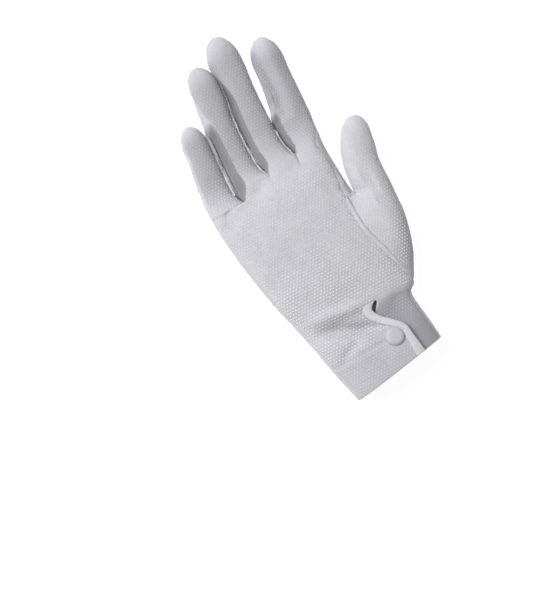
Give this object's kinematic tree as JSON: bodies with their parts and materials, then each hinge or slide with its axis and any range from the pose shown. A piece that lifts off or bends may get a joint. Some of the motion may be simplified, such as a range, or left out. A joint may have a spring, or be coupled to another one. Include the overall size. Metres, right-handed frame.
{
  "type": "dress glove",
  "caption": "Right-hand white parade glove lying palm up, with dotted grip palm, set-in thumb, raised points on the back and a snap at the wrist slit.",
  "frame": {"origin": "middle of the bottom of the glove's bounding box, on the surface it lies on", "axes": "+Y from the cuff to the fingertips, +X to the thumb side, +Z out of the palm"},
  "size_m": [0.1202, 0.2562, 0.0376],
  "materials": {
    "grip_knit": "white knit with small raised grip dots",
    "thumb_knit": "white knit with faint grip dots",
    "plain_knit": "fine plain white knit",
    "snap_cap": "smooth white cap, soft gloss",
    "snap_metal": "bright plated metal"
  },
  "bodies": {
    "root": {"palm_panel": "grip_knit", "back_panel": "plain_knit", "fourchette_index_middle": "plain_knit", "fourchette_middle_ring": "plain_knit", "fourchette_ring_little": "plain_knit", "thumb_front": "thumb_knit", "thumb_back": "plain_knit", "hem_band": "plain_knit", "thumb_seam_lip": "plain_knit", "vent_binding": "plain_knit", "point_index": "plain_knit", "point_middle": "plain_knit", "point_ring": "plain_knit", "snap_cap": "snap_cap", "snap_socket": "snap_metal", "snap_stud": "snap_metal"}
  },
  "joints": []
}
